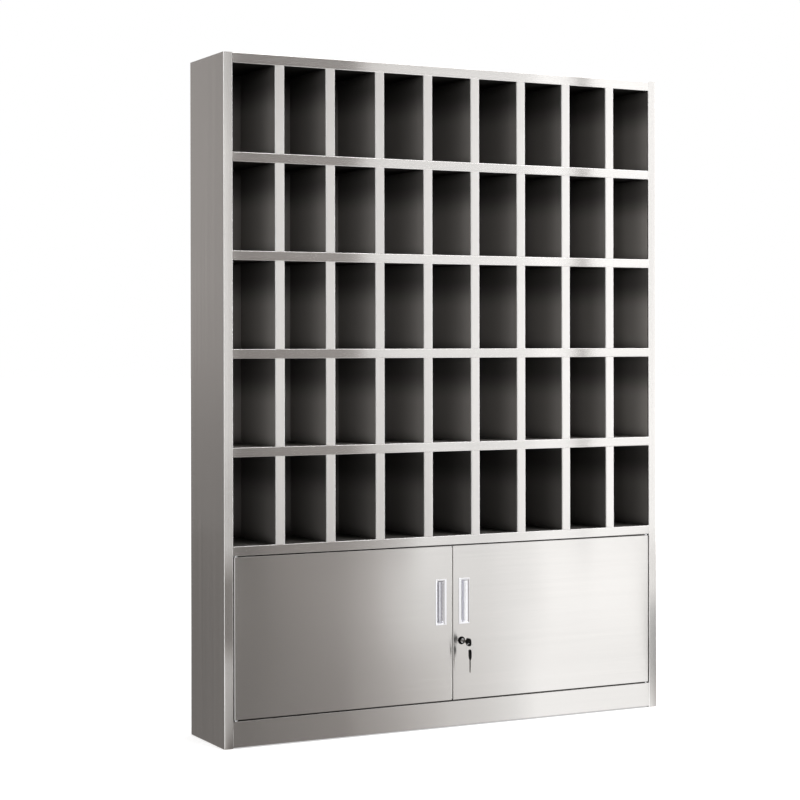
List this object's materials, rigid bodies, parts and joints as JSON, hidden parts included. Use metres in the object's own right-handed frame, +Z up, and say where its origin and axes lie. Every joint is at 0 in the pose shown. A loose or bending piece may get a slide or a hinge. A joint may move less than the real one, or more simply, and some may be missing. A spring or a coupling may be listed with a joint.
{
  "type": "compartment storage cabinet",
  "caption": "Free-standing stainless steel cabinet with a grid of open compartments over a low cupboard with swing doors, recessed handles and a key lock.",
  "frame": {"origin": "on the floor, in the middle of the carcass footprint, under the middle floor support", "axes": "+Z up, +Y towards the back, +X to the right seen from the front"},
  "size_m": [1.34, 0.2932, 1.8],
  "materials": {
    "stainless_sheet": "brushed stainless steel sheet",
    "satin_plate": "satin nickel plate",
    "bright_zinc": "bright zinc plate",
    "chrome_plate": "polished chrome plate",
    "key_metal": "nickel plated brass",
    "black_moulding": "moulded, semi gloss",
    "bearing_nylon": "natural nylon",
    "sintered_magnet": "sintered ferrite"
  },
  "bodies": {
    "carcass": {"side_panel_left": "stainless_sheet", "side_panel_right": "stainless_sheet", "side_liner_left": "stainless_sheet", "side_liner_right": "stainless_sheet", "top_panel": "stainless_sheet", "shelf_1": "stainless_sheet", "shelf_2": "stainless_sheet", "shelf_3": "stainless_sheet", "shelf_4": "stainless_sheet", "deck_panel": "stainless_sheet", "divider_row_1": "stainless_sheet", "divider_row_2": "stainless_sheet", "divider_row_3": "stainless_sheet", "divider_row_4": "stainless_sheet", "divider_row_5": "stainless_sheet", "back_panel": "stainless_sheet", "cupboard_floor": "stainless_sheet", "kick_plate": "stainless_sheet", "floor_support": "stainless_sheet", "left_hinge_pins": "bright_zinc", "right_hinge_pins": "bright_zinc", "left_hinge_washers": "bright_zinc", "right_hinge_washers": "bright_zinc", "catch_housings": "black_moulding", "catch_magnets": "sintered_magnet", "catch_screws": "bright_zinc"},
    "left_door": {"left_door_pan": "stainless_sheet", "left_door_stiffener": "stainless_sheet", "left_handle": "satin_plate", "left_hinge_bushes": "bearing_nylon", "left_strike": "bright_zinc", "left_strike_rivets": "bright_zinc", "left_bolt_guide": "bright_zinc"},
    "left_bolt": {"left_bolt_rod": "bright_zinc", "left_bolt_knob": "bright_zinc"},
    "right_door": {"right_door_pan": "stainless_sheet", "right_door_stiffener": "stainless_sheet", "right_handle": "satin_plate", "right_hinge_bushes": "bearing_nylon", "right_strike": "bright_zinc", "right_strike_rivets": "bright_zinc", "lock_housing": "chrome_plate", "lock_nut": "bright_zinc"},
    "lock_plug": {"lock_plug": "chrome_plate", "lock_cam": "bright_zinc", "lock_cam_screw": "bright_zinc"},
    "key": {"key_blade": "key_metal", "key_bow": "black_moulding"},
    "key_ring": {"key_ring": "chrome_plate"},
    "spare_key": {"spare_key_blade": "key_metal", "spare_key_bow": "black_moulding"}
  },
  "joints": [
    {"name": "left_door_swing", "type": "hinge", "parent": "carcass", "child": "left_door", "pos_m": [-0.6355, -0.1115, 0.2845], "axis": [0, 0, -1], "range_deg": [0, 105]},
    {"name": "right_door_swing", "type": "hinge", "parent": "carcass", "child": "right_door", "pos_m": [0.6355, -0.1115, 0.2845], "axis": [0, 0, 1], "range_deg": [0, 105]},
    {"name": "left_bolt_slide", "type": "slide", "parent": "left_door", "child": "left_bolt", "axis": [0, 0, 1], "range_m": [0, 0.012]},
    {"name": "lock_turn", "type": "hinge", "parent": "right_door", "child": "lock_plug", "pos_m": [0.028, -0.1225, 0.235], "axis": [0, 1, 0], "range_deg": [0, 90]},
    {"name": "key_pull", "type": "slide", "parent": "lock_plug", "child": "key", "axis": [0, -1, 0], "range_m": [0, 0.018]},
    {"name": "key_ring_swing", "type": "hinge", "parent": "key", "child": "key_ring", "pos_m": [0.028, -0.165, 0.2337], "axis": [1, 0, 0], "range_deg": [-80, 30]},
    {"name": "spare_key_hang", "type": "hinge", "parent": "key_ring", "child": "spare_key", "pos_m": [0.028, -0.165, 0.2232], "axis": [0, 1, 0], "range_deg": [-90, 0]}
  ],
  "couplings": [
    {"joint": "spare_key_hang", "follows": "lock_turn", "ratio": -1}
  ]
}
